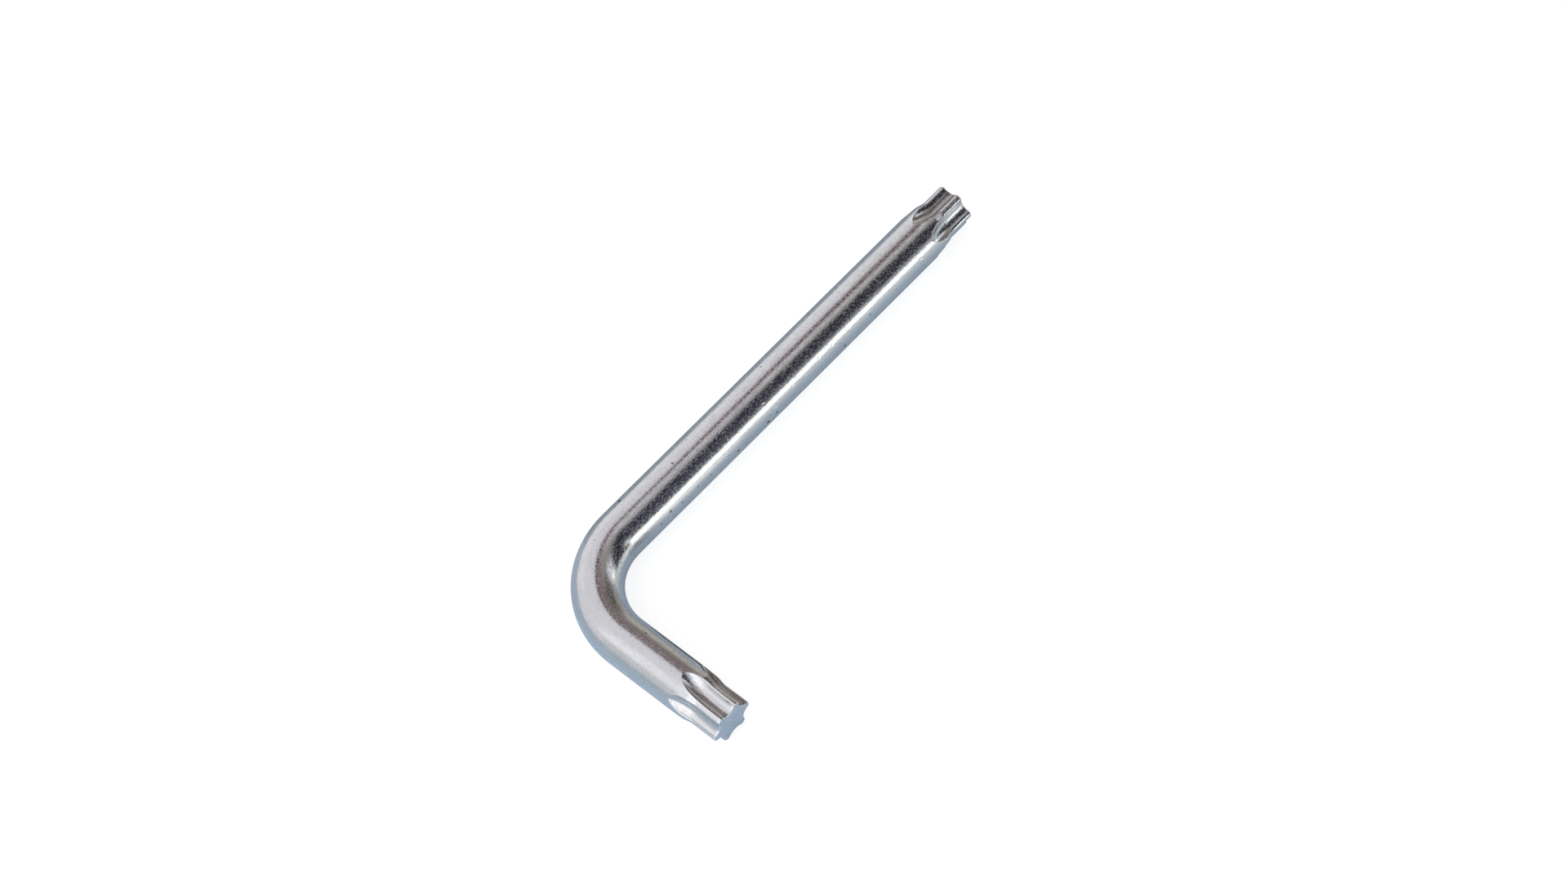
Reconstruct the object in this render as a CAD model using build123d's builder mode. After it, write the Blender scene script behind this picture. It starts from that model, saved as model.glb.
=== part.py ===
"""Star-drive key: a round bar bent to an L, with a six-lobe star tip on each end.

The key lies flat on the ground plane.  Its short arm points along +X and its
long arm along +Y.  The origin is the bottom centre of its bounding box.
"""

import os
from math import cos, radians, sin, tan

from build123d import *

# ---------------------------------------------------------------- bar, in mm
BAR_DIAMETER = 6.0
LONG_ARM = 69.6
SHORT_ARM = 28.4
BEND_RADIUS = 9.7

# ------------------------------------------------- six-lobe profile, size 30
LOBES = 6
STAR_ACROSS = 5.54
STAR_ROOT = 4.02
FLUTE_RADIUS = 1.2
LOBE_ROUNDING = 0.25
LOBE_DRAFT = 0.03
END_CHAMFER = 0.12

# ------------------------------------- how a flute runs out into the full bar
RUN_OUT_ANGLE = 25.5
RUN_OUT_BLEND = 1.6
LEAD_IN_LENGTH = 0.25
LEAD_IN_DROP = 0.02

# ------------------------------------------------ the two tips, from the end
LONG_STAR_LENGTH = 4.25
LONG_SHOULDER = 1.4
LONG_STAR_LEAN = 22.0
SHORT_STAR_LENGTH = 4.75
SHORT_SHOULDER = 1.5
SHORT_STAR_LEAN = 35.8

# ------------------------------------------------------------- worked out
BAR_RADIUS = BAR_DIAMETER / 2
CREST_RADIUS = STAR_ACROSS / 2
ROOT_RADIUS = STAR_ROOT / 2
FLUTE_CENTRE = ROOT_RADIUS + FLUTE_RADIUS
CUTTER_MARGIN = BAR_RADIUS / 4
STUB = BAR_RADIUS / 2

CORNER = (BAR_RADIUS - SHORT_ARM / 2, BAR_RADIUS - LONG_ARM / 2)
LONG_END = (CORNER[0], LONG_ARM / 2)
SHORT_END = (SHORT_ARM / 2, CORNER[1])


def shank_start(star_length):
    """Distance from an end to where the bar is plain: past the flutes' run-out."""
    run_out = (BAR_RADIUS - ROOT_RADIUS) / tan(radians(RUN_OUT_ANGLE))
    return star_length + run_out + LEAD_IN_LENGTH


def tip_length(star_length):
    """Length of a tip: all that is formed, and a stub of plain bar behind it."""
    return shank_start(star_length) + STUB


def flute_cutter(star_length):
    """Round-nosed cutter for one flute: straight along the star, then out of the bar."""
    climb = radians(RUN_OUT_ANGLE)
    travel = (BAR_RADIUS - ROOT_RADIUS + CUTTER_MARGIN) / sin(climb)
    turn = -star_length + FLUTE_RADIUS * tan(climb / 2)
    start = (FLUTE_CENTRE, CUTTER_MARGIN)
    corner = (FLUTE_CENTRE, turn)
    finish = (FLUTE_CENTRE + travel * sin(climb), turn - travel * cos(climb))
    with BuildPart() as cutter:
        with BuildLine(Plane.XZ) as path:
            FilletPolyline(start, corner, finish, radius=RUN_OUT_BLEND)
        with BuildSketch(Plane.XY.offset(CUTTER_MARGIN)):
            with Locations((FLUTE_CENTRE, 0)):
                Circle(FLUTE_RADIUS)
        sweep(path=path.line)
    return cutter.part


def turned_blank(star_length, shoulder):
    """Round blank of one tip: plain bar, slight lead-in, steeper shoulder, drafted crests."""
    crest_start = shoulder - star_length
    with BuildPart() as blank:
        with BuildSketch(Plane.XZ):
            with BuildLine():
                Polyline(
                    (0, -tip_length(star_length)),
                    (BAR_RADIUS, -tip_length(star_length)),
                    (BAR_RADIUS, -shank_start(star_length)),
                    (BAR_RADIUS - LEAD_IN_DROP, -star_length),
                    (CREST_RADIUS + LOBE_DRAFT, crest_start),
                    (CREST_RADIUS, 0),
                    (0, 0),
                    close=True,
                )
            make_face()
        revolve(axis=Axis.Z)
    return blank.part


def star_tip(star_length, shoulder):
    """One tip, its end face at the origin facing +Z, with a lobe along +X."""
    blank = turned_blank(star_length, shoulder)
    cutter = flute_cutter(star_length)
    crest_start = shoulder - star_length
    with BuildPart() as tip:
        add(blank)
        with PolarLocations(0, LOBES, start_angle=180 / LOBES):
            add(cutter, mode=Mode.SUBTRACT)
        ridges = tip.edges().filter_by_position(Axis.Z, crest_start, 0, inclusive=(False, False))
        fillet(ridges, LOBE_ROUNDING)
        rim = tip.faces().sort_by(Axis.Z)[-1].edges()
        chamfer(rim, END_CHAMFER)
    return tip.part


def bent_bar(long_tip_length, short_tip_length):
    """The plain round bar between the two tips, bent through a right angle."""
    long_end = (LONG_END[0], LONG_END[1] - long_tip_length)
    short_end = (SHORT_END[0] - short_tip_length, SHORT_END[1])
    with BuildPart() as bar:
        with BuildLine(Plane.XY.offset(BAR_RADIUS)) as route:
            FilletPolyline(long_end, CORNER, short_end, radius=BEND_RADIUS)
        with BuildSketch(Plane(origin=route.line @ 0, z_dir=route.line % 0)):
            Circle(BAR_RADIUS)
        sweep()
    return bar.part


def end_plane(end, outward, side, lean_degrees):
    """Plane of an end face, with a lobe that leans from the top towards one side."""
    lean = radians(lean_degrees)
    lobe = (side[0] * sin(lean), side[1] * sin(lean), cos(lean))
    return Plane(origin=(end[0], end[1], BAR_RADIUS), x_dir=lobe, z_dir=outward)


bar = bent_bar(tip_length(LONG_STAR_LENGTH), tip_length(SHORT_STAR_LENGTH))
long_tip = star_tip(LONG_STAR_LENGTH, LONG_SHOULDER)
short_tip = star_tip(SHORT_STAR_LENGTH, SHORT_SHOULDER)

with BuildPart() as star_key:
    add(bar)
    with Locations(end_plane(LONG_END, (0, 1, 0), (1, 0), LONG_STAR_LEAN)):
        add(long_tip)
    with Locations(end_plane(SHORT_END, (1, 0, 0), (0, -1), SHORT_STAR_LEAN)):
        add(short_tip)

star_key.part.label = "star_key"

os.makedirs("parts", exist_ok=True)
export_step(star_key.part, "parts/star_key.step")

print("star_key volume, mm3:", round(star_key.part.volume, 1))
print("solids:", len(star_key.part.solids()), "faces:", len(star_key.part.faces()))
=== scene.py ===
"""A star-drive key: one bent, plated steel bar with a six-lobe star cut on each end.

The key lies flat on a pale floor, its short arm along +X and its long arm along +Y.
Sizes are in millimetres and degrees until a mesh is placed, and in metres after that.
"""

import logging
import math
from dataclasses import dataclass
from enum import Enum
from typing import Any, Sequence, Union

import bpy
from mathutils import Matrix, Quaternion, Vector


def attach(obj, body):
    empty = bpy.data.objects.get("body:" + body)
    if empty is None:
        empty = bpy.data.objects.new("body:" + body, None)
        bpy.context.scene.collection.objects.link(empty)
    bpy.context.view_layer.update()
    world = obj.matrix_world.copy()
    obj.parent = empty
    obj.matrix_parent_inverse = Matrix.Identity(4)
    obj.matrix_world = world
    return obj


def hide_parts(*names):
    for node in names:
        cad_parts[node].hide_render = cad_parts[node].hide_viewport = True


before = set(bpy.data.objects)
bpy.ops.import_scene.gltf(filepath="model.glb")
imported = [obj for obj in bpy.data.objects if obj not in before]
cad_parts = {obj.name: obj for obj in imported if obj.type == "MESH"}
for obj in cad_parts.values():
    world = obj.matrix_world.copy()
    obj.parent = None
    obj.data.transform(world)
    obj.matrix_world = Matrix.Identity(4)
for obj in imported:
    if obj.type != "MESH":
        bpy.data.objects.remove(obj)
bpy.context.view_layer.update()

LOG = logging.getLogger("star_key")
MM = 0.001
MICROMETRE = 1e-6
PIT_FLOOR = 0.35
WHITE = (1.0, 1.0, 1.0)
BAR_PLACE = "bar_place"
EDGE_PLACE = "edge_place"

Colour = tuple[float, float, float]
Span = tuple[float, float]
Feed = Union["Wire", int, float, Sequence[float], None]


class Wire:
    """One socket of a node tree that can be used in ordinary Python arithmetic."""

    def __init__(self, board: "Board", socket: bpy.types.NodeSocket) -> None:
        """Keeps the socket.

        Args:
            board: The tree that the socket belongs to.
            socket: The output to carry on from.
        """
        self.board = board
        self.socket = socket

    def math(self, operation: str, *others: Feed) -> "Wire":
        """Adds a Math node whose first value is this wire.

        Args:
            operation: The node's operation.
            others: The values or wires of its other inputs.

        Returns:
            The node's result.
        """
        return self.board.math(operation, self, *others)

    def __add__(self, other: Feed) -> "Wire":
        """This plus other."""
        return self.math("ADD", other)

    def __radd__(self, other: Feed) -> "Wire":
        """Other plus this."""
        return self.math("ADD", other)

    def __sub__(self, other: Feed) -> "Wire":
        """This less other."""
        return self.math("SUBTRACT", other)

    def __rsub__(self, other: Feed) -> "Wire":
        """Other less this."""
        return self.board.math("SUBTRACT", other, self)

    def __mul__(self, other: Feed) -> "Wire":
        """This times other."""
        return self.math("MULTIPLY", other)

    def __rmul__(self, other: Feed) -> "Wire":
        """Other times this."""
        return self.math("MULTIPLY", other)

    def __truediv__(self, other: Feed) -> "Wire":
        """This over other."""
        return self.math("DIVIDE", other)

    def __rtruediv__(self, other: Feed) -> "Wire":
        """Other over this."""
        return self.board.math("DIVIDE", other, self)

    def __pow__(self, other: Feed) -> "Wire":
        """This to the power of other."""
        return self.math("POWER", other)

    def clamp(self, low: Feed, high: Feed) -> "Wire":
        """This, kept between two values."""
        return self.math("MAXIMUM", low).math("MINIMUM", high)

    def step(self, low: Feed, high: Feed) -> "Wire":
        """A smooth rise from 0 to 1.

        Args:
            low: Where it leaves 0.
            high: Where it reaches 1.

        Returns:
            The risen value.
        """
        settings = {"interpolation_type": "SMOOTHSTEP"}
        sockets = {"Value": self, "From Min": low, "From Max": high, "To Min": 0.0, "To Max": 1.0}
        return self.board.out("ShaderNodeMapRange", settings, sockets, "Result")

    def between(self, rise: Span, fall: Span) -> "Wire":
        """A smooth rise from 0 to 1 over one span and a smooth fall to 0 over another."""
        return self.step(*rise) * (1 - self.step(*fall))

    def band(self, sides: Span, soft: float) -> "Wire":
        """1 between two sides and 0 outside, with soft edges."""
        low, high = sides
        return self.between((low - soft, low + soft), (high - soft, high + soft))


class Board:
    """Adds nodes to one node tree."""

    def __init__(self, tree: bpy.types.NodeTree) -> None:
        """Keeps the tree and empties it.

        Args:
            tree: The node tree to build in.
        """
        self.tree = tree
        tree.nodes.clear()

    def node(self, kind: str, settings: dict[str, Any] | None = None,
             sockets: dict[str | int, Any] | None = None) -> bpy.types.Node:
        """Adds a node, sets it up and then feeds its inputs.

        Args:
            kind: The node's type.
            settings: Its properties.
            sockets: Values or wires for its inputs, by name or number.

        Returns:
            The new node.
        """
        made = self.tree.nodes.new(kind)
        for name, value in (settings or {}).items():
            setattr(made, name, value)
        for key, value in (sockets or {}).items():
            self.feed(made.inputs[key], value)
        return made

    def feed(self, socket: bpy.types.NodeSocket, value: Any) -> None:
        """Links a wire to an input, or sets the input's value.

        Args:
            socket: The input.
            value: A wire, a number, a vector or colour, or anything the socket takes.
        """
        if isinstance(value, Wire):
            self.tree.links.new(value.socket, socket)
        elif value is not None:
            wide = socket.type == "RGBA" and len(value) == 3
            socket.default_value = (*value, 1.0) if wide else value

    def out(self, kind: str, settings: dict[str, Any] | None, sockets: dict[str | int, Any] | None,
            name: str | int = 0) -> Wire:
        """Adds a node and returns one of its outputs.

        Args:
            kind: The node's type.
            settings: Its properties.
            sockets: Values or wires for its inputs.
            name: The output's name or number.

        Returns:
            That output as a wire.
        """
        return Wire(self, self.node(kind, settings, sockets).outputs[name])

    def math(self, operation: str, *values: Feed) -> Wire:
        """Adds a Math node.

        Args:
            operation: The node's operation.
            values: The values or wires of its inputs, in order.

        Returns:
            Its result.
        """
        made = self.node("ShaderNodeMath", {"operation": operation}, dict(enumerate(values)))
        return Wire(self, made.outputs[0])

    def vector(self, operation: str, *values: Any) -> Wire:
        """Adds a Vector Math node.

        Args:
            operation: The node's operation.
            values: The values or wires of its inputs, in order.

        Returns:
            Its vector.
        """
        made = self.node("ShaderNodeVectorMath", {"operation": operation}, dict(enumerate(values)))
        return Wire(self, made.outputs[0])

    def distance(self, first: Any, second: Any) -> Wire:
        """The distance between two vectors."""
        made = self.node("ShaderNodeVectorMath", {"operation": "DISTANCE"}, {0: first, 1: second})
        return Wire(self, made.outputs["Value"])

    def mix(self, factor: Feed, first: Any, second: Any) -> Wire:
        """Mixes two colours.

        Args:
            factor: 0 for the first colour, 1 for the second.
            first: A colour or a wire.
            second: A colour or a wire.

        Returns:
            The mixed colour.
        """
        made = self.node("ShaderNodeMix", {"data_type": "RGBA"})
        self.feed(made.inputs[0], factor)
        self.feed(made.inputs[6], first)
        self.feed(made.inputs[7], second)
        return Wire(self, made.outputs[2])

    def combine(self, x: Feed, y: Feed, z: Feed) -> Wire:
        """A vector from its three numbers."""
        return self.out("ShaderNodeCombineXYZ", None, {0: x, 1: y, 2: z})

    def split(self, vector: Wire) -> tuple[Wire, Wire, Wire]:
        """The three numbers of a vector."""
        made = self.node("ShaderNodeSeparateXYZ", None, {0: vector})
        return Wire(self, made.outputs[0]), Wire(self, made.outputs[1]), Wire(self, made.outputs[2])


@dataclass(frozen=True)
class StarEnd:
    """One six-lobe end of the bar.

    Attributes:
        crest: Radius over the lobes.
        root: Radius at the bottom of the flutes.
        length: Distance from the end to the plain bar's full size.
        shoulder: Length of the cone that leads from the crests to the bar.
        reach: Distance from the end to the point where a flute has run out of the bar.
        lean: Angle of one lobe from straight up, towards the inner side of the bend.
        twist: How much further the lobes lean where the flutes run out.
        flute: Radius of the flutes.
        rounding: Rounding between flute and crest on the star.
        edge: Rounding of the flutes' edges on the bar.
        rim: Rounding round the end face.
    """

    crest: float
    root: float
    length: float
    shoulder: float
    reach: float
    lean: float
    twist: float = 0.0
    flute: float = 1.2
    rounding: float = 0.38
    edge: float = 0.22
    rim: float = 0.14


class End(Enum):
    """The two ends of the bar, by the word that their inputs start with."""

    SHORT = "Short"
    LONG = "Long"


@dataclass(frozen=True)
class Counts:
    """How finely the mesh is divided.

    Attributes:
        flute: Points from the bottom of a flute to its rounding.
        rounding: Points over the rounding.
        crest: Points from the rounding to the middle of a crest.
        cap: Rings on an end face.
        rim: Rings over the rounding of an end face.
        star: Rings along a star.
        shoulder: Rings along the cone behind a star.
        run_out: Rings over the end of the flutes.
        spread: Rings where the points even out.
        short_arm: Rings along the plain part of the short arm.
        bend: Rings round the bend.
        long_arm: Rings along the plain part of the long arm.
    """

    flute: int = 10
    rounding: int = 5
    crest: int = 6
    cap: int = 3
    rim: int = 5
    star: int = 7
    shoulder: int = 13
    run_out: int = 26
    spread: int = 8
    short_arm: int = 8
    bend: int = 54
    long_arm: int = 26


@dataclass(frozen=True)
class KeyMesh:
    """The bent bar with its two stars, made by one rule from end to end.

    Attributes:
        bar_radius: Radius of the plain bar.
        bend_radius: Radius of the bend at the bar's centre line.
        short_end: Place of the short arm's end on the floor plan.
        long_end: Place of the long arm's end on the floor plan.
        short_star: The star on the short arm.
        long_star: The star on the long arm.
        spread: Length over which the points even out behind a flute.
        soft_corner: Width of the soft corners at the shoulder.
        run_out: Length over which the bottom of a flute rises to the bar.
        crowding: How strongly the rings on an end face crowd towards its rim.
        edge_change: Where the flutes' rounding changes, from the start and the end of the
            shoulder.
        least_rounding: The least rounding that is left at a rim.
        least_edge: The least width of a flute where it runs out.
        lean_change: Shares of the bar between which one star's lean becomes the other's.
        twist_on: Distances from an end between which the lobes start to twist.
        twist_off: Distances from an end between which the plain bar loses the twist.
        merge: Distance in metres at which points become one.
        counts: How finely it is divided.
    """

    bar_radius: float = 2.999
    bend_radius: float = 9.7
    short_end: Span = (14.2, -31.8)
    long_end: Span = (-11.2, 34.8)
    short_star: StarEnd = StarEnd(
        crest=2.785, root=2.03, length=4.75, shoulder=1.25, reach=6.78, lean=24.2, twist=5.0)
    long_star: StarEnd = StarEnd(
        crest=2.72, root=2.02, length=4.25, shoulder=1.15, reach=6.3, lean=22.0)
    spread: float = 1.4
    soft_corner: float = 0.06
    run_out: float = 3.6
    crowding: float = 2.7
    edge_change: Span = (-0.2, -0.3)
    least_rounding: float = 0.02
    least_edge: float = 2e-5
    lean_change: Span = (0.1, 0.9)
    twist_on: Span = (1.0, 7.0)
    twist_off: Span = (10.0, 14.0)
    merge: float = 1.5e-6
    counts: Counts = Counts()

    @property
    def columns(self) -> int:
        """Points in one ring."""
        return 12 * self.half_lobe

    @property
    def half_lobe(self) -> int:
        """Points from the middle of a flute to the middle of a crest."""
        return self.counts.flute + self.counts.rounding + self.counts.crest

    @property
    def short_run(self) -> float:
        """Straight length of the short arm."""
        return self.short_end[0] - self.long_end[0] - self.bend_radius

    @property
    def long_run(self) -> float:
        """Straight length of the long arm."""
        return self.long_end[1] - self.short_end[1] - self.bend_radius

    @property
    def arc(self) -> float:
        """Length of the bend along the centre line."""
        return self.bend_radius * math.pi / 2

    @property
    def total(self) -> float:
        """Length of the whole centre line."""
        return self.short_run + self.arc + self.long_run

    def star_stretches(self, star: StarEnd) -> list[tuple[float, int]]:
        """Length and rings of each stretch from an end's rim to the plain bar.

        Args:
            star: The end's sizes.

        Returns:
            The stretches in order from the end.
        """
        return [
            (star.length - star.shoulder - self.soft_corner - star.rim, self.counts.star),
            (star.shoulder + self.soft_corner, self.counts.shoulder),
            (star.reach - star.length, self.counts.run_out),
            (self.spread, self.counts.spread),
        ]

    def stretches(self) -> list[tuple[float, int]]:
        """Length and rings of every stretch between the two rims.

        Returns:
            The stretches in order from the short end.
        """
        short = self.star_stretches(self.short_star)
        long = self.star_stretches(self.long_star)
        short_plain = self.short_run - self.short_star.reach - self.spread
        long_plain = self.long_run - self.long_star.reach - self.spread
        middle = [
            (short_plain, self.counts.short_arm),
            (self.arc, self.counts.bend),
            (long_plain, self.counts.long_arm),
        ]
        return short + middle + long[::-1]

    def ring_count(self) -> int:
        """Rings over the whole bar, with those on both end faces."""
        ends = 2 * (self.counts.cap + self.counts.rim)
        return ends + sum(rings for _, rings in self.stretches()) + 1

    def inputs(self) -> dict[str, float]:
        """The tree's named inputs and their values.

        Returns:
            The inputs by name, with lengths in millimetres and turns in radians.
        """
        values = {
            "Bar Radius": self.bar_radius,
            "Bend Radius": self.bend_radius,
            "Short Run": self.short_run,
            "Total Length": self.total,
            "Short End X": self.short_end[0],
            "Short End Y": self.short_end[1],
            "Flute Radius": self.short_star.flute,
            "Lobe Rounding": self.short_star.rounding,
            "Edge Rounding": self.short_star.edge,
            "Rim Rounding": self.short_star.rim,
            "Run Out": self.run_out,
            "Spread": self.spread,
        }
        for end, star in ((End.SHORT, self.short_star), (End.LONG, self.long_star)):
            sizes = {
                "Crest": star.crest,
                "Root": star.root,
                "Star Length": star.length,
                "Shoulder": star.shoulder,
                "Reach": star.reach,
                "Lean": math.radians(star.lean),
                "Twist": math.radians(star.twist),
            }
            values.update({f"{end.value} {name}": size for name, size in sizes.items()})
        return values

    def tree(self) -> tuple[bpy.types.NodeTree, dict[str, str]]:
        """Builds the geometry tree.

        Returns:
            The tree, and its inputs' identifiers by name.
        """
        tree = bpy.data.node_groups.new("star_key_rule", "GeometryNodeTree")
        board = Board(tree)
        names: dict[str, str] = {}
        for name in self.inputs():
            socket = tree.interface.new_socket(
                name=name, in_out="INPUT", socket_type="NodeSocketFloat")
            names[name] = socket.identifier
        finish = tree.interface.new_socket(
            name="Finish", in_out="INPUT", socket_type="NodeSocketMaterial")
        names["Finish"] = finish.identifier
        tree.interface.new_socket(
            name="Geometry", in_out="OUTPUT", socket_type="NodeSocketGeometry")
        source = board.node("NodeGroupInput")
        value = {name: Wire(board, source.outputs[name]) for name in names}
        rings = self.ring_count()
        grid = board.out("GeometryNodeMeshGrid", None, {
            "Size X": float(rings - 1), "Size Y": float(self.columns),
            "Vertices X": rings, "Vertices Y": self.columns + 1}, "Mesh")
        across = board.split(board.out("GeometryNodeInputPosition", None, None))
        ring = (across[0] + (rings - 1) / 2).math("ROUND")
        column = (across[1] + self.columns / 2).math("ROUND")
        place, straight, edge = self.surface(board, value, ring, column)
        fields = ((BAR_PLACE, "FLOAT_VECTOR", straight), (EDGE_PLACE, "FLOAT", edge))
        for name, kind, field in fields:
            grid = board.out(
                "GeometryNodeStoreNamedAttribute", {"data_type": kind, "domain": "POINT"},
                {"Geometry": grid, "Name": name, "Value": field})
        moved = board.out(
            "GeometryNodeSetPosition", None, {"Geometry": grid, "Position": place})
        closed = board.out(
            "GeometryNodeMergeByDistance", None, {"Geometry": moved, "Distance": self.merge})
        outward = board.out("GeometryNodeFlipFaces", None, {"Mesh": closed})
        smooth = board.out(
            "GeometryNodeSetShadeSmooth", None, {"Geometry": outward, "Shade Smooth": True})
        real = board.out("GeometryNodeRealizeInstances", None, {"Geometry": smooth})
        dressed = board.out(
            "GeometryNodeSetMaterial", None, {"Geometry": real, "Material": value["Finish"]})
        board.node("NodeGroupOutput", None, {0: dressed})
        return tree, names

    def stations(self, ring: Wire, rim: Wire) -> tuple[Wire, Wire, Wire]:
        """Turns a ring's number into its place along the bar.

        Args:
            ring: The ring's number.
            rim: The rim's rounding.

        Returns:
            Distance along the bar, inset of the rim, and the share of the full outline
            that a ring on an end face has.
        """
        last = self.ring_count() - 1
        from_end = ring.math("MINIMUM", last - ring)
        cap, edge = self.counts.cap, self.counts.rim
        share = 1 - (1 - (from_end / cap).clamp(0.0, 1.0)) ** self.crowding
        turn = ((from_end - cap) / edge).clamp(0.0, 1.0) * (math.pi / 2)
        inset = rim * (1 - turn.math("SINE"))
        rise = rim * (1 - turn.math("COSINE"))
        is_far = ring.math("GREATER_THAN", last / 2)
        along = rise + is_far * 2 * (rim - rise)
        start = cap + edge
        for length, count in self.stretches():
            along = along + (ring - start).clamp(0.0, float(count)) * (length / count)
            start += count
        return along, inset, share

    def by_end(self, value: dict[str, Wire], name: str, share: Wire) -> Wire:
        """A size that the two ends don't share.

        Args:
            value: The tree's inputs by name.
            name: The size's name without its end.
            share: 0 for the short end's size and 1 for the long one's.

        Returns:
            The size.
        """
        short, long = value[f"{End.SHORT.value} {name}"], value[f"{End.LONG.value} {name}"]
        return short + (long - short) * share

    def outline(self, value: dict[str, Wire], column: Wire, from_end: Wire, inset: Wire,
                far: Wire) -> tuple[Wire, Wire, Wire]:
        """Places a column's point on the outline of its ring.

        Args:
            value: The tree's inputs by name.
            column: The point's number in its ring.
            from_end: Distance from the nearer end.
            inset: How far the rim's rounding draws the outline in.
            far: 0 at the short end and 1 at the long one.

        Returns:
            The point's radius, its angle from the middle of the first flute, and its place
            across an edge: 0 in a flute, 0 to 1 over the rounding and 1 to 2 over the crest.
        """
        crest, root, length, shoulder, past = (
            self.by_end(value, name, far)
            for name in ("Crest", "Root", "Star Length", "Shoulder", "Reach"))
        bar, flute = value["Bar Radius"], value["Flute Radius"]
        cone_start = length - shoulder
        slope = (bar - crest) / shoulder
        cone = crest + (from_end - cone_start) * slope
        blank = cone.math("SMOOTH_MAX", crest, self.soft_corner)
        blank = blank.math("SMOOTH_MIN", bar, self.soft_corner) - inset
        climb = ((from_end - past) / value["Run Out"] + 1).math("MAXIMUM", 0.0)
        bottom = root + (bar - root) * climb * climb
        start_change, end_change = self.edge_change
        on_bar = from_end.step(cone_start + start_change, length + end_change)
        lobe, edge = value["Lobe Rounding"], value["Edge Rounding"]
        rounding = lobe + (edge - lobe) * on_bar
        rounding = (rounding - inset).math("MAXIMUM", self.least_rounding)
        cutter = flute + inset
        inner = blank - rounding
        centre = (bottom + flute).math("MINIMUM", inner + cutter + rounding - self.least_edge)
        reach = cutter + rounding
        cosine = (centre * centre + inner * inner - reach * reach) / (2 * centre * inner)
        corner = cosine.math("MINIMUM", 1.0).math("ARCCOSINE")
        corner_x, corner_y = inner * corner.math("COSINE"), inner * corner.math("SINE")
        meet = corner_y.math("ARCTAN2", corner_x - centre)
        number = column.math("MODULO", 2.0 * self.half_lobe)
        folded = number.math("MINIMUM", 2.0 * self.half_lobe - number)
        going_back = number.math("GREATER_THAN", float(self.half_lobe))
        side = 1 - 2 * going_back
        sector = ((column - number) / (2.0 * self.half_lobe)).math("ROUND") + going_back
        n_flute, n_round, n_crest = self.counts.flute, self.counts.rounding, self.counts.crest
        in_flute = (folded / n_flute).clamp(0.0, 1.0)
        in_round = ((folded - n_flute) / n_round).clamp(0.0, 1.0)
        in_crest = ((folded - (n_flute + n_round)) / n_crest).clamp(0.0, 1.0)
        a_flute = math.pi + (meet - math.pi) * in_flute
        a_first = meet - math.pi
        a_round = a_first + (corner - a_first) * in_round
        a_crest = corner + (math.pi / 6 - corner) * in_crest
        x = centre + cutter * a_flute.math("COSINE")
        x = x + rounding * (a_round.math("COSINE") - a_first.math("COSINE"))
        x = x + blank * (a_crest.math("COSINE") - corner.math("COSINE"))
        y = cutter * a_flute.math("SINE")
        y = y + rounding * (a_round.math("SINE") - a_first.math("SINE"))
        y = y + blank * (a_crest.math("SINE") - corner.math("SINE"))
        radius = (x * x + y * y).math("SQRT")
        angle = y.math("ARCTAN2", x)
        even = from_end.step(past, past + value["Spread"])
        angle = angle + (folded * (math.pi / 6 / self.half_lobe) - angle) * even
        radius = radius + (blank - radius) * even
        across = (in_round + in_crest) * (1 - even)
        return radius, side * angle + sector * (math.pi / 3), across

    def surface(self, board: Board, value: dict[str, Wire], ring: Wire,
                column: Wire) -> tuple[Wire, Wire, Wire]:
        """Places every point of the key.

        Args:
            board: The tree being built.
            value: The tree's inputs by name.
            ring: The ring's number.
            column: The point's number in its ring.

        Returns:
            The point's place and its place on the bar before bending, both in metres, and its
            place across an edge.
        """
        total, bend = value["Total Length"], value["Bend Radius"]
        along, inset, share = self.stations(ring, value["Rim Rounding"])
        far = along.math("GREATER_THAN", total / 2)
        from_end = along.math("MINIMUM", total - along)
        radius, angle, edge = self.outline(value, column, from_end, inset, far)
        lean = self.by_end(value, "Lean", (along / total).step(*self.lean_change))
        twist = self.by_end(value, "Twist", far) * from_end.between(self.twist_on, self.twist_off)
        angle = angle + lean + twist + math.pi / 6
        radius = radius * share
        edge = edge * share.math("GREATER_THAN", 0.999)  # none on the end faces
        up, inward = radius * angle.math("COSINE"), radius * angle.math("SINE")
        before = along.math("MINIMUM", value["Short Run"])
        arc = bend * (math.pi / 2)
        turn = (along - value["Short Run"]).clamp(0.0, arc) / bend
        after = (along - value["Short Run"] - arc).math("MAXIMUM", 0.0)
        sine, cosine = turn.math("SINE"), turn.math("COSINE")
        x = value["Short End X"] - before - bend * sine + inward * sine
        y = value["Short End Y"] + bend * (1 - cosine) + after + inward * cosine
        z = value["Bar Radius"] + up
        place = board.combine(x * MM, y * MM, z * MM)
        return place, board.combine(along * MM, inward * MM, up * MM), edge

    def make(self, finish: bpy.types.Material) -> bpy.types.Object:
        """Runs the tree and keeps its result as a plain mesh.

        Args:
            finish: The material of the whole key.

        Returns:
            The key.
        """
        tree, names = self.tree()
        maker = bpy.data.objects.new("key_maker", bpy.data.meshes.new("key_maker"))
        bpy.context.scene.collection.objects.link(maker)
        modifier = maker.modifiers.new("Star key rule", "NODES")
        modifier.node_group = tree
        for name, number in self.inputs().items():
            modifier[names[name]] = float(number)
        modifier[names["Finish"]] = finish
        graph = bpy.context.evaluated_depsgraph_get()
        mesh = bpy.data.meshes.new_from_object(maker.evaluated_get(graph), depsgraph=graph)
        bpy.data.objects.remove(maker)
        bpy.data.node_groups.remove(tree)
        mesh.name = "key"
        key = bpy.data.objects.new("key", mesh)
        bpy.context.scene.collection.objects.link(key)
        return key


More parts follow.
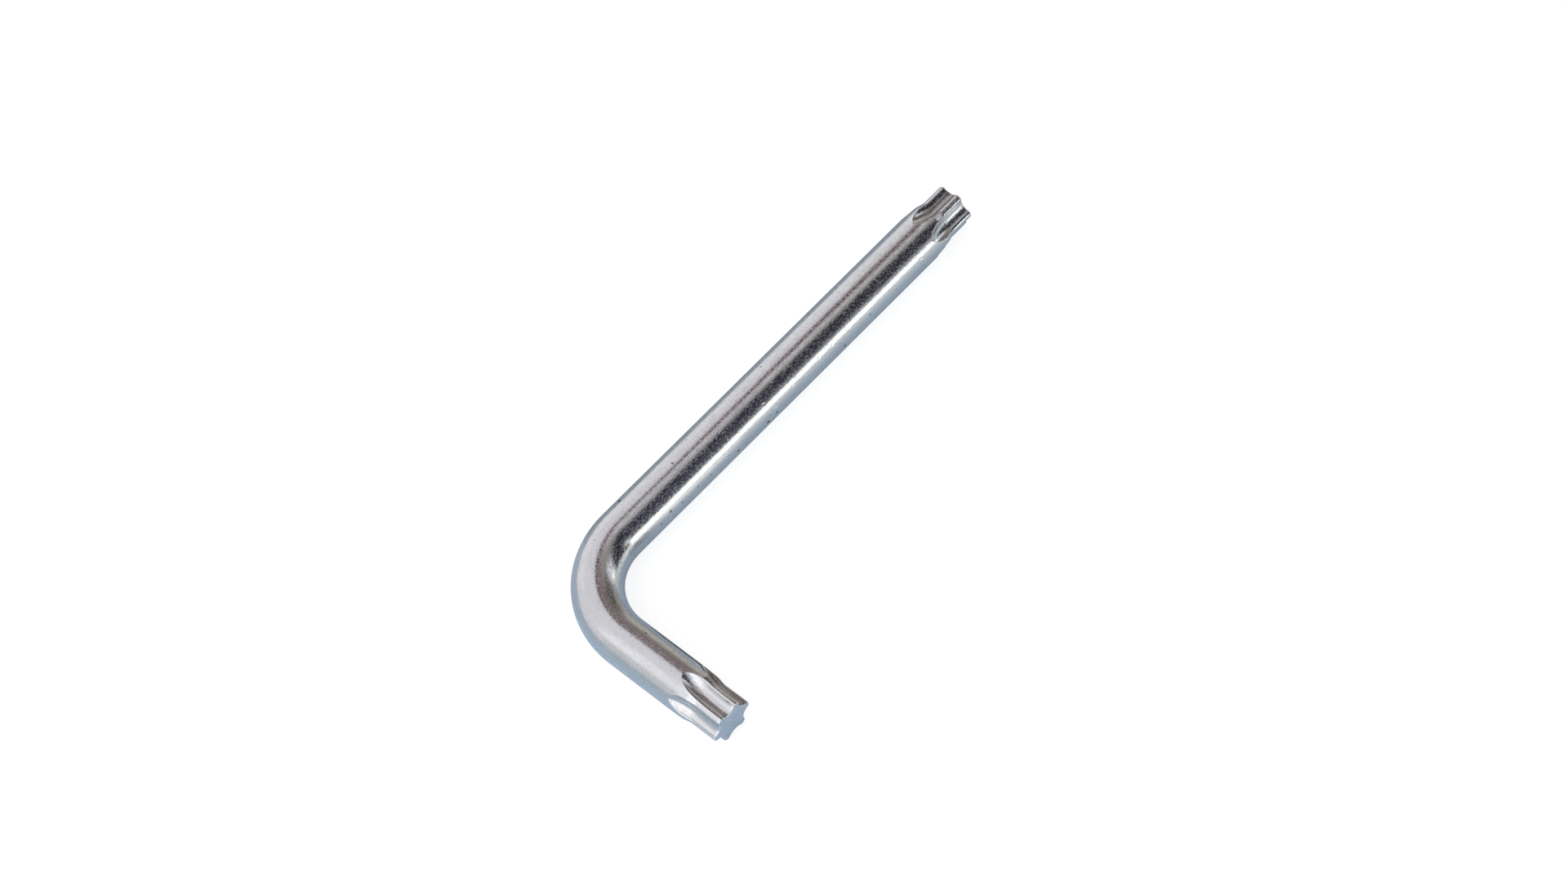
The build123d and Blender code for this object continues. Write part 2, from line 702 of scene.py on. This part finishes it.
@dataclass(frozen=True)
class Pit:
    """A small dark pit in the plating.

    Attributes:
        along: Distance from the short end along the bar.
        around: Angle from straight up, towards the inner side of the bend.
        size: Its radius.
        strength: How dark it is, from 0 to 1.
    """

    along: float
    around: float
    size: float
    strength: float


@dataclass(frozen=True)
class Darkening:
    """A soft patch of another colour on the plating.

    Attributes:
        colour: The plating's colour in its middle.
        along: Its two ends along the bar, from the short end.
        around: Its two sides, in degrees from straight up towards the inner side of the bend.
        soft: Softness of its ends in millimetres and of its sides in degrees.
        strength: How much of the colour it has, from 0 to 1.
    """

    colour: Colour
    along: Span
    around: Span
    soft: Span
    strength: float


@dataclass(frozen=True)
class Pattern:
    """A fine pattern in the plating that follows the bar.

    Attributes:
        stretch: Scale along the bar and the two ways across it.
        scale: Scale of its noise, per metre.
        detail: Detail of its noise.
        height: How far it lifts the plating, in micrometres.
        span: The values of the noise between which the pattern rises from 0 to 1.
        roughness: How strong the noise's finer detail is.
    """

    stretch: tuple[float, float, float]
    scale: float
    detail: float = 1.0
    height: float = 0.0
    span: Span | None = None
    roughness: float = 0.55

    def wire(self, board: Board, place: Wire) -> Wire:
        """Adds the pattern to a material.

        Args:
            board: The material's tree.
            place: Place on the bar before bending.

        Returns:
            The pattern, from 0 to 1.
        """
        stretched = board.vector("MULTIPLY", place, self.stretch)
        sockets = {"Vector": stretched, "Scale": self.scale, "Detail": self.detail,
                   "Roughness": self.roughness}
        noise = board.out("ShaderNodeTexNoise", None, sockets)
        return noise.step(*self.span) if self.span else noise


@dataclass(frozen=True)
class PlatedSteel:
    """Bright zinc-like plating over drawn steel, with a fine grain.

    Attributes:
        colour: The plating's colour.
        shade: Its colour in grain hollows and faint stains.
        pit_colour: Colour of the pits.
        burnish_and_glint: Its colour where edges are burnished and where a highlight is painted on
            them.
        roughness: Roughness of the smooth plating.
        fleck_roughness: How much rougher its fine flecks are.
        pit_roughness: How much rougher the pits are.
        grain: The finest grain.
        fleck: Rough, darker flecks.
        mottle: A slow mottle.
        mottle_span: The values of the mottle between which its shade comes in.
        wave: Slow waves along the bar.
        marks: Marks of the tool across the stars.
        specks: Small dark specks.
        dents: Small dents.
        mottle_shade: How much of the shade the mottle has.
        fleck_shade: How much of the shade the flecks have.
        speck_shade: How dark the specks are.
        painted_edge_shadow: How dark the painted shadow lines beside the lobes are.
        lobe_burnish_and_glint: How strongly the lobes' edges are burnished and carry a painted
            highlight.
        rim_burnish_and_glint: How strongly the rims are burnished and carry a painted highlight.
        edge_marks: How much higher the tool's marks are on the lobes' edges.
        pit_depth: Depth of the pits in micrometres.
        star_fade: Distances from an end between which the stars' own marks fade: burnish with
            painted highlight, painted shadow lines and tool marks.
        face_edge: Distances from an end at which its face gives way to its rim.
        rim_fade: Distances from an end between which the rim's burnish and painted highlight fade.
        painted_edge_shadow_place: The rise and the fall of the painted shadow lines across an edge.
        burnish_and_glint_place: The rise and the fall of the burnish and painted highlight across
            an edge.
        pits: The pits that can be seen singly.
        darkenings: Darker patches, later ones over earlier ones.
    """

    colour: Colour = (0.76, 0.76, 0.77)
    shade: Colour = (0.60, 0.595, 0.60)
    pit_colour: Colour = (0.10, 0.11, 0.10)
    burnish_and_glint: Colour = (0.93, 0.93, 0.94)
    roughness: float = 0.15
    fleck_roughness: float = 0.22
    pit_roughness: float = 0.3
    grain: Pattern = Pattern((0.5, 1.0, 1.0), 8000.0, height=4.0)
    fleck: Pattern = Pattern((0.4, 1.0, 1.0), 8000.0, span=(0.45, 0.65))
    mottle: Pattern = Pattern((0.5, 1.0, 1.0), 900.0, detail=2.0, height=4.0)
    mottle_span: Span = (0.35, 0.75)
    wave: Pattern = Pattern((0.12, 1.0, 1.0), 260.0, detail=2.0, height=16.0)
    marks: Pattern = Pattern((1.0, 0.12, 0.12), 5200.0, height=5.0)
    specks: Pattern = Pattern((0.7, 1.0, 1.0), 2600.0, span=(0.71, 0.78))
    dents: Pattern = Pattern((0.4, 1.0, 1.0), 1700.0, height=16.0, span=(0.70, 0.81))
    mottle_shade: float = 0.25
    fleck_shade: float = 0.25
    speck_shade: float = 0.35
    painted_edge_shadow: float = 0.55
    lobe_burnish_and_glint: float = 0.7
    rim_burnish_and_glint: float = 0.9
    edge_marks: float = 14.0
    pit_depth: float = 20.0
    star_fade: Span = (5.0, 7.0)
    face_edge: Span = (0.01, 0.04)
    rim_fade: Span = (0.10, 0.16)
    painted_edge_shadow_place: tuple[Span, Span] = ((0.0, 0.15), (0.2, 0.4))
    burnish_and_glint_place: tuple[Span, Span] = ((0.3, 0.6), (1.0, 1.4))
    pits: tuple[Pit, ...] = (
        Pit(33.1, -40.0, 0.34, 1.0),
        Pit(40.2, -5.0, 0.20, 0.7),
        Pit(34.5, 78.0, 0.20, 0.7),
        Pit(36.2, 71.0, 0.26, 0.8),
        Pit(38.0, 77.0, 0.18, 0.8),
        Pit(40.6, 76.0, 0.18, 0.6),
        Pit(42.7, 79.0, 0.20, 0.6),
        Pit(47.2, 88.0, 0.26, 0.9),
        Pit(52.2, 91.0, 0.34, 0.9),
        Pit(53.7, 87.0, 0.26, 0.8),
        Pit(65.3, 90.0, 0.26, 0.9),
        Pit(69.9, 74.0, 0.20, 0.7),
        Pit(56.0, -24.0, 0.18, 0.6),
        Pit(43.5, -25.0, 0.18, 0.4),
        Pit(13.4, 24.0, 0.20, 0.7),
    )
    darkenings: tuple[Darkening, ...] = (
        # A darker grey patch over the top of the long star.
        Darkening((0.34, 0.33, 0.33), (84.2, 92.0), (-26.0, 10.0), (1.0, 6.0), 0.9),
        # Painted shade: the short star's back flute is darkened to a brown-grey, as its recess is
        # in shade.
        Darkening((0.40, 0.36, 0.33), (-4.0, 6.6), (57.0, 72.0), (0.6, 4.0), 0.8),
    )

    def make(self) -> bpy.types.Material:
        """Builds the material.

        Returns:
            The material.
        """
        material = bpy.data.materials.new("plated_steel")
        material.use_nodes = True
        board = Board(material.node_tree)
        place = board.out("ShaderNodeAttribute", {"attribute_name": BAR_PLACE}, None, "Vector")
        edge = board.out("ShaderNodeAttribute", {"attribute_name": EDGE_PLACE}, None, "Fac")
        along, inward, up = board.split(board.vector("MULTIPLY", place, (1 / MM, 1 / MM, 1 / MM)))
        from_end = along.math("MINIMUM", KeyMesh().total - along)
        around = inward.math("ARCTAN2", up) * (180 / math.pi)
        on_star = 1 - from_end.step(*self.star_fade)
        off_face = from_end.step(*self.face_edge)
        grain, fleck, mottle, wave, marks, specks, dents = (
            pattern.wire(board, place) for pattern in (
                self.grain, self.fleck, self.mottle, self.wave, self.marks, self.specks,
                self.dents))
        pits = self.pit_mask(board, place)
        # Painted shadow: a thin dark line where each flute meets its rounding on the stars.
        line = edge.between(*self.painted_edge_shadow_place) * on_star
        burnish_and_glint = edge.between(*self.burnish_and_glint_place)
        rim = from_end.between(self.face_edge, self.rim_fade)

        tone = mottle.step(*self.mottle_span) * self.mottle_shade + fleck * self.fleck_shade
        colour = board.mix(tone, self.colour, self.shade)
        # Darker patches; the one in the short star's back flute is painted shade.
        for darkening in self.darkenings:
            mask = self.darkening_mask(darkening, along, around)
            colour = board.mix(mask * off_face, colour, darkening.colour)
        # Burnished edges, lightened further as a painted highlight along the lobes' edges and round
        # the rims.
        bright = (burnish_and_glint * on_star * self.lobe_burnish_and_glint).math("MAXIMUM", rim * self.rim_burnish_and_glint)
        colour = board.mix(bright, colour, self.burnish_and_glint)
        # Pits and specks are the plating's own; the lines along the lobes' edges are painted
        # shadow.
        dark = (pits + specks * self.speck_shade + line * self.painted_edge_shadow).math("MINIMUM", 1.0)
        colour = board.mix(dark, colour, self.pit_colour)

        roughness = self.roughness + fleck * self.fleck_roughness + pits * self.pit_roughness
        relief = marks * on_star * (self.marks.height + burnish_and_glint * self.edge_marks)
        height = (grain * self.grain.height + mottle * self.mottle.height
                  + wave * self.wave.height + relief
                  - pits * self.pit_depth - dents * self.dents.height)
        bump = board.out("ShaderNodeBump", None, {
            "Strength": 1.0, "Distance": MICROMETRE, "Height": height})
        shader = board.out("ShaderNodeBsdfPrincipled", None, {
            "Base Color": colour, "Metallic": 1.0, "Roughness": roughness, "Normal": bump})
        board.node("ShaderNodeOutputMaterial", None, {"Surface": shader})
        return material

    def darkening_mask(self, darkening: Darkening, along: Wire, around: Wire) -> Wire:
        """Where a darker patch is.

        Args:
            darkening: The patch.
            along: Distance from the short end in millimetres.
            around: Angle from straight up in degrees.

        Returns:
            The patch's share of the colour.
        """
        end, side = darkening.soft
        return along.band(darkening.along, end) * around.band(darkening.around, side) * darkening.strength

    def pit_mask(self, board: Board, place: Wire) -> Wire:
        """Where the pits are.

        Args:
            board: The tree being built.
            place: Place on the bar before bending.

        Returns:
            1 in the middle of a pit and 0 outside.
        """
        mask: Wire | None = None
        radius = KeyMesh().bar_radius
        for pit in self.pits:
            turn = math.radians(pit.around)
            spot = (pit.along * MM, radius * math.sin(turn) * MM, radius * math.cos(turn) * MM)
            near = board.distance(place, spot)
            one = (1 - near.step(pit.size * PIT_FLOOR * MM, pit.size * MM)) * pit.strength
            mask = one if mask is None else mask.math("MAXIMUM", one)
        return mask


@dataclass(frozen=True)
class Panel:
    """A soft-edged patch of light or shade in the studio.

    Attributes:
        colour: What it sends out.
        compass: Its two sides, in degrees from +Y towards +X.
        height: Its lower and upper edge, in degrees above the horizon.
        soft: Softness of its sides and of its edges, in degrees.
    """

    colour: Colour
    compass: Span
    height: Span
    soft: Span


@dataclass(frozen=True)
class Patch:
    """A soft-edged patch of the floor that lights the metal in its own way: painted light and
    painted shadow that only the metal's reflections see.

    Attributes:
        colour: The light that it sends out.
        shade: How much of the floor's own colour is left; below 1 it is a painted shadow.
        east: Its two sides along X in millimetres.
        north: Its two sides along Y in millimetres.
        soft: Softness of its sides in millimetres.
    """

    colour: Colour
    shade: float
    east: Span
    north: Span
    soft: float


@dataclass(frozen=True)
class Studio:
    """The pale floor, the light round the key and the camera.

    Attributes:
        walls: What the studio sends out where no panel is.
        panels: The panels, later ones over earlier ones.
        floor_colour: The floor's own colour.
        floor_thin: The part of the floor's look that takes the key's shadow.
        floor_glow: The part of the floor's look that stays white.
        floor_in_metal: The light that the plating always gets from the floor.
        patches: Where that light differs, later ones over earlier ones.
        floor_shaded: The floor's colour as the plating shows it, with the key's shadow.
        floor_size: Half the floor's side in metres.
        camera_place: The camera's place in metres.
        camera_target: The point it looks at.
        camera_roll: Its roll in degrees.
        lens: Its focal length on a 36 mm sensor.
    """

    walls: Colour = (0.80, 0.79, 0.83)
    panels: tuple[Panel, ...] = (
        Panel((0.885, 0.875, 0.91), (-112.0, -58.0), (-10.0, 30.0), (6.0, 6.0)),
        Panel((0.52, 0.58, 0.70), (98.0, 200.0), (6.0, 95.0), (10.0, 8.0)),
        Panel((1.35, 1.35, 1.38), (146.0, 200.0), (6.0, 95.0), (9.0, 8.0)),
        Panel((1.35, 1.35, 1.38), (-200.0, -160.0), (6.0, 95.0), (2.5, 8.0)),
        Panel((1.00, 1.01, 1.06), (-168.0, -136.0), (28.0, 62.0), (5.0, 8.0)),
        Panel((0.62, 0.63, 0.65), (-164.0, -148.0), (-20.0, 26.0), (3.0, 4.0)),
        Panel((0.66, 0.64, 0.63), (-52.0, 6.0), (66.9, 95.0), (6.0, 2.0)),
        Panel((0.38, 0.36, 0.35), (4.0, 27.0), (45.0, 95.0), (7.0, 5.0)),
        Panel((0.33, 0.31, 0.28), (-52.0, 22.0), (-30.0, 64.0), (3.0, 2.0)),
        Panel((0.22, 0.175, 0.178), (-52.0, -10.0), (28.0, 65.0), (3.0, 2.0)),
        Panel((0.08, 0.02, 0.028), (-50.0, -32.0), (56.5, 67.2), (3.0, 1.5)),
        Panel((0.56, 0.53, 0.48), (-42.0, -18.0), (2.0, 20.0), (5.0, 4.0)),
        Panel((0.10, 0.09, 0.08), (-20.0, 10.0), (16.0, 43.0), (5.0, 5.0)),
        Panel((0.024, 0.025, 0.038), (23.5, 67.0), (-4.0, 69.0), (4.0, 6.0)),
        Panel((0.058, 0.062, 0.085), (64.0, 96.0), (18.0, 70.0), (4.0, 5.0)),
        Panel((0.84, 0.85, 0.92), (9.0, 25.0), (8.0, 43.5), (4.0, 4.0)),
        Panel((0.85, 0.85, 0.86), (54.0, 63.0), (12.0, 27.0), (3.0, 3.0)),
        Panel((2.2, 2.15, 2.1), (12.0, 20.0), (5.0, 13.0), (3.0, 4.0)),
        Panel((3.1, 3.08, 2.98), (64.0, 90.0), (-4.0, 14.0), (4.0, 5.0)),
        Panel((0.98, 0.99, 1.03), (-200.0, 200.0), (72.0, 95.0), (5.0, 3.0)),
        Panel((0.50, 0.49, 0.50), (-75.0, 75.0), (72.0, 95.0), (12.0, 3.0)),
    )
    floor_colour: Colour = (0.80, 0.81, 0.82)
    floor_thin: Colour = (0.42, 0.42, 0.42)
    floor_glow: Colour = (0.82, 0.82, 0.82)
    floor_in_metal: Colour = (0.07, 0.095, 0.12)
    patches: tuple[Patch, ...] = (
        Patch((0.0, 0.0, 0.005), 0.84, (-900.0, -12.5), (-24.0, 900.0), 2.0),
        Patch((0.235, 0.265, 0.225), 1.0, (-1.0, 900.0), (-14.0, 900.0), 5.0),
        Patch((0.30, 0.295, 0.21), 1.0, (16.0, 900.0), (-14.0, 900.0), 8.0),
        Patch((0.70, 0.67, 0.58), 1.0, (45.0, 900.0), (-14.0, 900.0), 20.0),
        Patch((0.58, 0.60, 0.48), 1.0, (2.0, 70.0), (-15.0, -1.0), 3.0),
        Patch((0.06, 0.05, 0.04), 0.30, (-60.0, 2.0), (46.0, 900.0), 6.0),
        Patch((0.01, 0.012, 0.0), 0.37, (-3.0, 14.0), (-31.0, -18.5), 2.0),
        Patch((0.03, 0.025, 0.01), 0.28, (4.0, 13.0), (-31.0, -13.5), 2.0),
        Patch((0.10, 0.148, 0.20), 1.0, (-12.0, 60.0), (-900.0, -33.0), 2.0),
        Patch((0.07, 0.115, 0.11), 1.0, (-12.0, 60.0), (-900.0, -44.0), 5.0),
        Patch((0.03, 0.055, 0.05), 1.0, (-12.0, 60.0), (-900.0, -62.0), 14.0),
        Patch((0.12, 0.175, 0.245), 1.0, (14.0, 60.0), (-60.0, -20.0), 1.5),
    )
    floor_shaded: Colour = (0.54, 0.625, 0.685)
    floor_size: float = 3.0
    camera_place: tuple[float, float, float] = (0.18621, -0.16799, 0.40591)
    camera_target: tuple[float, float, float] = (-0.005128, -0.001644, 0.003)
    camera_roll: float = -8.638
    lens: float = 97.5

    def make_world(self) -> None:
        """Lights the key from all round, and shows white behind the floor."""
        world = bpy.data.worlds.new("studio")
        bpy.context.scene.world = world
        world.use_nodes = True
        board = Board(world.node_tree)
        way = board.out("ShaderNodeTexCoord", None, None, "Generated")
        east, north, up = board.split(board.vector("NORMALIZE", way))
        compass = east.math("ARCTAN2", north) * (180 / math.pi)
        height = up.math("ARCSINE") * (180 / math.pi)
        colour: Any = self.walls
        for panel in self.panels:
            colour = board.mix(self.panel_mask(panel, compass, height), colour, panel.colour)
        seen = board.out("ShaderNodeLightPath", None, None, "Is Camera Ray")
        colour = board.mix(seen, colour, WHITE)
        light = board.out("ShaderNodeBackground", None, {"Color": colour, "Strength": 1.0})
        board.node("ShaderNodeOutputWorld", None, {"Surface": light})

    def panel_mask(self, panel: Panel, compass: Wire, height: Wire) -> Wire:
        """Where a panel covers the studio.

        Args:
            panel: The panel.
            compass: Compass angle of a direction.
            height: Its angle above the horizon.

        Returns:
            1 on the panel and 0 outside.
        """
        side, edge = panel.soft
        return compass.band(panel.compass, side) * height.band(panel.height, edge)

    def make_floor(self) -> bpy.types.Object:
        """Makes the floor.

        Returns:
            The floor.
        """
        half = self.floor_size
        corners = [(-half, -half, 0.0), (half, -half, 0.0), (half, half, 0.0), (-half, half, 0.0)]
        mesh = bpy.data.meshes.new("floor")
        mesh.from_pydata(corners, [], [(0, 1, 2, 3)])
        mesh.materials.append(self.floor_material())
        floor = bpy.data.objects.new("floor", mesh)
        bpy.context.scene.collection.objects.link(floor)
        return floor

    def floor_material(self) -> bpy.types.Material:
        """A pale matt floor that keeps the key's shadow and looks white behind it.

        Returns:
            The material.
        """
        material = bpy.data.materials.new("pale_floor")
        material.use_nodes = True
        board = Board(material.node_tree)
        path = board.node("ShaderNodeLightPath")
        camera = Wire(board, path.outputs["Is Camera Ray"])
        glossy = Wire(board, path.outputs["Is Glossy Ray"])
        through = Wire(board, path.outputs["Is Transmission Ray"])
        paper = board.out("ShaderNodeBsdfDiffuse", None, {"Color": self.floor_colour})
        thin = board.out("ShaderNodeBsdfDiffuse", None, {"Color": self.floor_thin})
        glow = board.out("ShaderNodeEmission", None, {"Color": self.floor_glow, "Strength": 1.0})
        white = board.out("ShaderNodeAddShader", None, {0: thin, 1: glow})
        light, shade = self.patchwork(board)
        tint = board.vector("SCALE", self.floor_shaded)
        board.feed(tint.socket.node.inputs["Scale"], shade)
        tinted = board.out("ShaderNodeBsdfDiffuse", None, {"Color": tint})
        haze = board.out("ShaderNodeEmission", None, {"Color": light, "Strength": 1.0})
        shown = board.out("ShaderNodeAddShader", None, {0: tinted, 1: haze})
        looked_at = camera.math("MAXIMUM", through)
        seen = board.out("ShaderNodeMixShader", None, {0: looked_at, 1: paper, 2: white})
        both = board.out("ShaderNodeMixShader", None, {0: glossy, 1: seen, 2: shown})
        board.node("ShaderNodeOutputMaterial", None, {"Surface": both})
        return material

    def patchwork(self, board: Board) -> tuple[Wire, Wire]:
        """The light that the metal gets from each place of the floor.

        Args:
            board: The floor material's tree.

        Returns:
            Its colour, and how much of the floor's own colour is left.
        """
        place = board.out("ShaderNodeTexCoord", None, None, "Object")
        east, north, _ = board.split(board.vector("MULTIPLY", place, (1 / MM, 1 / MM, 1 / MM)))
        colour: Any = self.floor_in_metal
        shade: Any = 1.0
        for patch in self.patches:
            mask = east.band(patch.east, patch.soft) * north.band(patch.north, patch.soft)
            colour = board.mix(mask, colour, patch.colour)
            shade = mask * (patch.shade - shade) + shade
        return colour, shade

    def make_camera(self) -> bpy.types.Object:
        """Makes the camera and gives it to the scene.

        Returns:
            The camera.
        """
        data = bpy.data.cameras.new("camera")
        data.lens = self.lens
        data.sensor_width = 36.0
        camera = bpy.data.objects.new("camera", data)
        bpy.context.scene.collection.objects.link(camera)
        place = Vector(self.camera_place)
        aim = (Vector(self.camera_target) - place).to_track_quat("-Z", "Y")
        camera.location = place
        camera.rotation_mode = "QUATERNION"
        roll = Quaternion((0.0, 0.0, 1.0), math.radians(self.camera_roll))
        camera.rotation_quaternion = aim @ roll
        bpy.context.scene.camera = camera
        return camera


@dataclass(frozen=True)
class StarKey:
    """The whole key: its mesh, its plating and its place in the shared frame."""

    mesh: KeyMesh = KeyMesh()
    finish: PlatedSteel = PlatedSteel()

    def build(self) -> bpy.types.Object:
        """Makes the key and puts it in the CAD solid's place.

        Returns:
            The key.
        """
        key = self.mesh.make(self.finish.make())
        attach(key, "root")
        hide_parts("star_key")
        faces = sum(len(polygon.vertices) - 2 for polygon in key.data.polygons)
        LOG.info("%s: %d triangles", key.name, faces)
        return key


def main() -> None:
    """Builds the key and its studio, in order."""
    logging.basicConfig(level=logging.INFO, format="%(name)s: %(message)s")
    bpy.context.scene.view_settings.view_transform = "Standard"
    StarKey().build()
    studio = Studio()
    studio.make_world()
    LOG.info("floor: %s", studio.make_floor().name)
    LOG.info("camera: %s", studio.make_camera().name)


if __name__ == "__main__":
    main()
